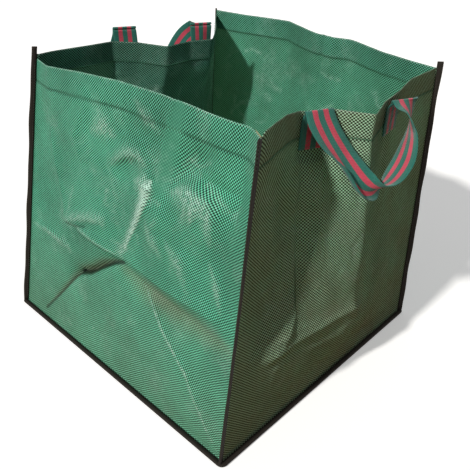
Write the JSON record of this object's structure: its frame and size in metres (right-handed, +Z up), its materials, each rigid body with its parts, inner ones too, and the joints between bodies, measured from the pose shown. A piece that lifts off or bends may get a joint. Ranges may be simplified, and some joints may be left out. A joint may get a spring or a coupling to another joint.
{
  "type": "garden waste bag",
  "caption": "Open-topped square garden waste bag of woven plastic fabric with bound seams, a sewn flat base and striped webbing carrying handles at front and rear",
  "frame": {"origin": "middle of the underside of the base, on the ground", "axes": "+X from the bag's left to its right, +Y from the front handle's side to the rear, +Z up"},
  "size_m": [0.5016, 0.544, 0.4443],
  "materials": {
    "woven_fabric": "coated plastic weave, slight sheen",
    "binding_tape": "matt woven tape",
    "webbing": "matt woven webbing with two red stripes"
  },
  "bodies": {
    "bag": {"base_panel": "woven_fabric", "front_panel": "woven_fabric", "right_panel": "woven_fabric", "rear_panel": "woven_fabric", "left_panel": "woven_fabric", "base_binding": "binding_tape", "front_left_binding": "binding_tape", "front_right_binding": "binding_tape", "rear_right_binding": "binding_tape", "rear_left_binding": "binding_tape", "front_handle_first_end": "webbing", "front_handle_second_end": "webbing", "rear_handle_first_end": "webbing", "rear_handle_second_end": "webbing"},
    "front_handle": {"front_handle_loop": "webbing"},
    "rear_handle": {"rear_handle_loop": "webbing"}
  },
  "joints": [
    {"name": "front_handle_swing", "type": "hinge", "parent": "bag", "child": "front_handle", "pos_m": [-0.00579, -0.22629, 0.42703], "axis": [-0.9247, 0.3807, 0], "range_deg": [0, 150]},
    {"name": "rear_handle_swing", "type": "hinge", "parent": "bag", "child": "rear_handle", "pos_m": [0.05096, 0.18494, 0.44229], "axis": [0.9079, -0.4192, 0], "range_deg": [0, 160]}
  ]
}
